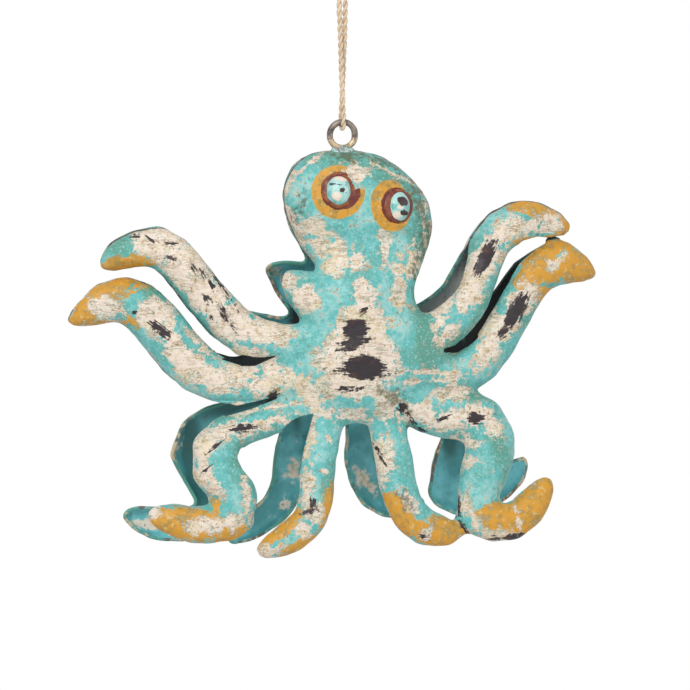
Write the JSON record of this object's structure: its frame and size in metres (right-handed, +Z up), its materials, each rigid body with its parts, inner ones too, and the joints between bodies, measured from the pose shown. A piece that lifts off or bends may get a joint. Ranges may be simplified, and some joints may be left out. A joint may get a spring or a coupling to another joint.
{
  "type": "octopus hanging ornament",
  "caption": "Hanging octopus ornament of hammered, painted sheet-steel half shells with curling arms, domed stud eyes and a wire ring on a knotted loop of jute twine.",
  "frame": {"origin": "where a hook bears on the twine, just under its knot, straight above the hanging ring", "axes": "+X to the right in the picture, across the raised arms; +Y from the front to the back; +Z up along the twine"},
  "size_m": [0.1726, 0.0508, 0.1954],
  "materials": {
    "painted_shell": "teal over cream and mustard paint, sanded through to dark steel in patches",
    "eye_paint": "pale teal dome in a dark red painted ring",
    "ring_steel": "dull bare wire with paint remnants",
    "weld_steel": "dark weld metal, partly painted over",
    "jute": "two-ply natural twine"
  },
  "bodies": {
    "knot": {"twine_knot": "jute"},
    "loop": {"twine": "jute"},
    "octopus": {"front_shell": "painted_shell", "back_shell": "painted_shell", "left_eye": "eye_paint", "right_eye": "eye_paint", "hanging_ring": "ring_steel", "ring_weld": "weld_steel", "head_seam_weld": "weld_steel", "arm_tip_welds": "weld_steel"}
  },
  "joints": [
    {"name": "turn", "type": "hinge", "parent": "knot", "child": "loop", "pos_m": [0, 0, 0], "axis": [0, 0, 1], "range_deg": [-180, 180], "stiffness_Nm_per_rad": 0.0005},
    {"name": "swing", "type": "hinge", "parent": "loop", "child": "octopus", "pos_m": [0, 0, -0.0419], "axis": [1, 0, 0], "range_deg": [-60, 60]}
  ]
}
